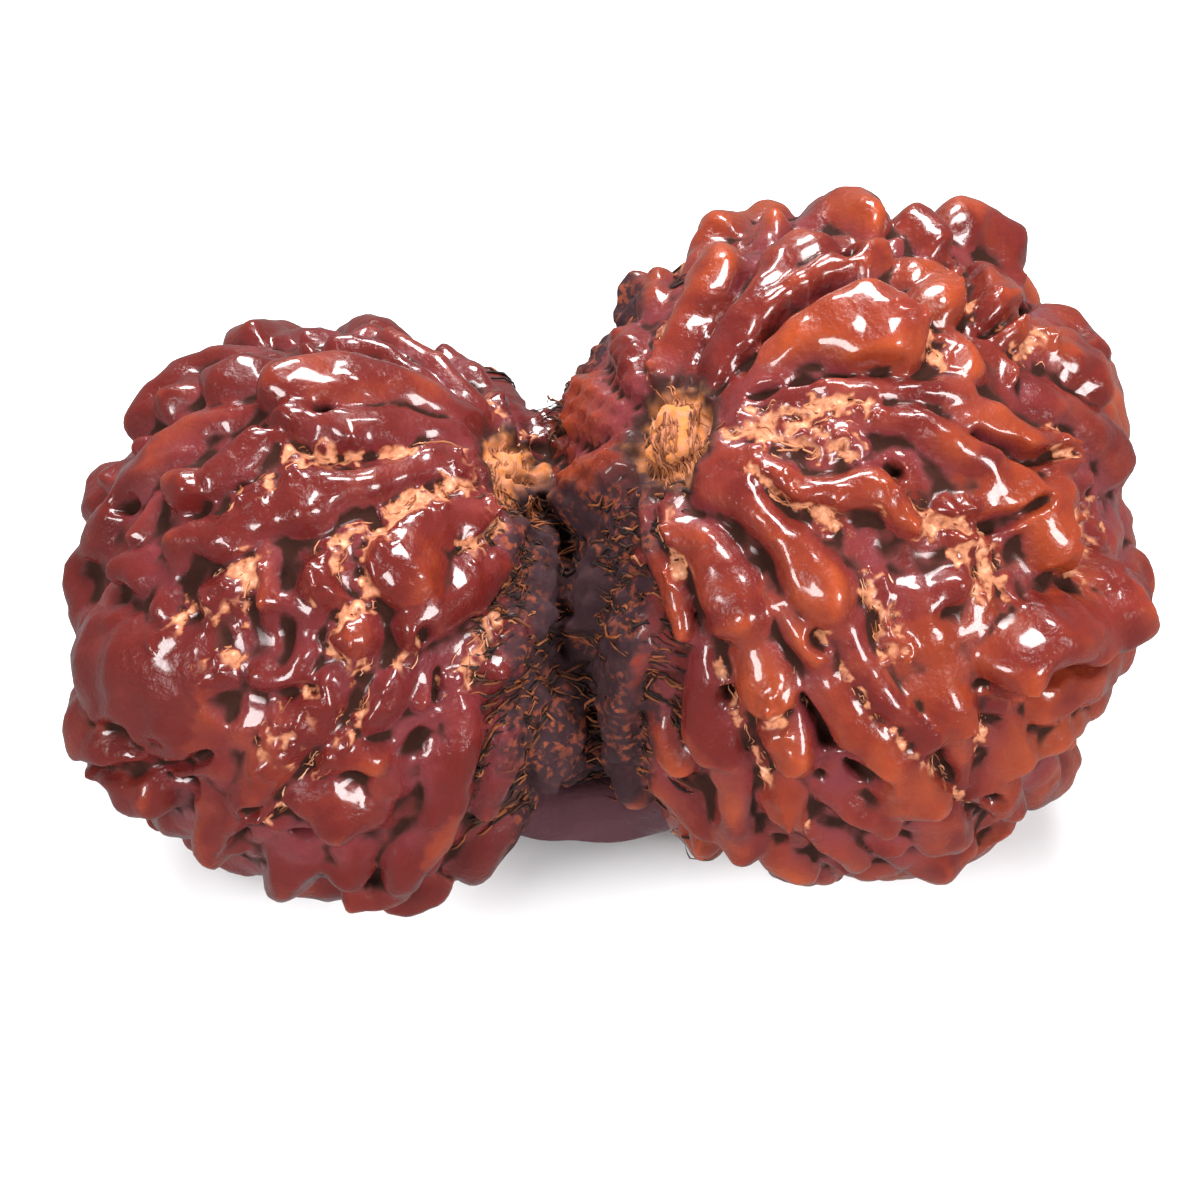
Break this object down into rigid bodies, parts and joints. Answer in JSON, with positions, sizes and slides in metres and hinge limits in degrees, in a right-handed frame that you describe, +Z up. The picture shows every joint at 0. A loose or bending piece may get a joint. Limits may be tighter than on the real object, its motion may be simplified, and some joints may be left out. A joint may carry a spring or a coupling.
{
  "type": "rudraksha seed",
  "caption": "Twin rudraksha seed: a small and a large bead grown together at a neck, with deep glossy ridges and knobs.",
  "frame": {"origin": "under the middle of the seed's box, on the surface that it rests on", "axes": "+X the long way, from the small bead to the large bead; +Z up; the side seen in the picture faces -Y and up"},
  "size_m": [0.0396, 0.0256, 0.0251],
  "materials": {
    "husk": "polished red-brown husk with tan fibre in the furrows",
    "fibre": "dry tan fibre"
  },
  "bodies": {
    "root": {"twin_seed": "husk"}
  },
  "joints": []
}
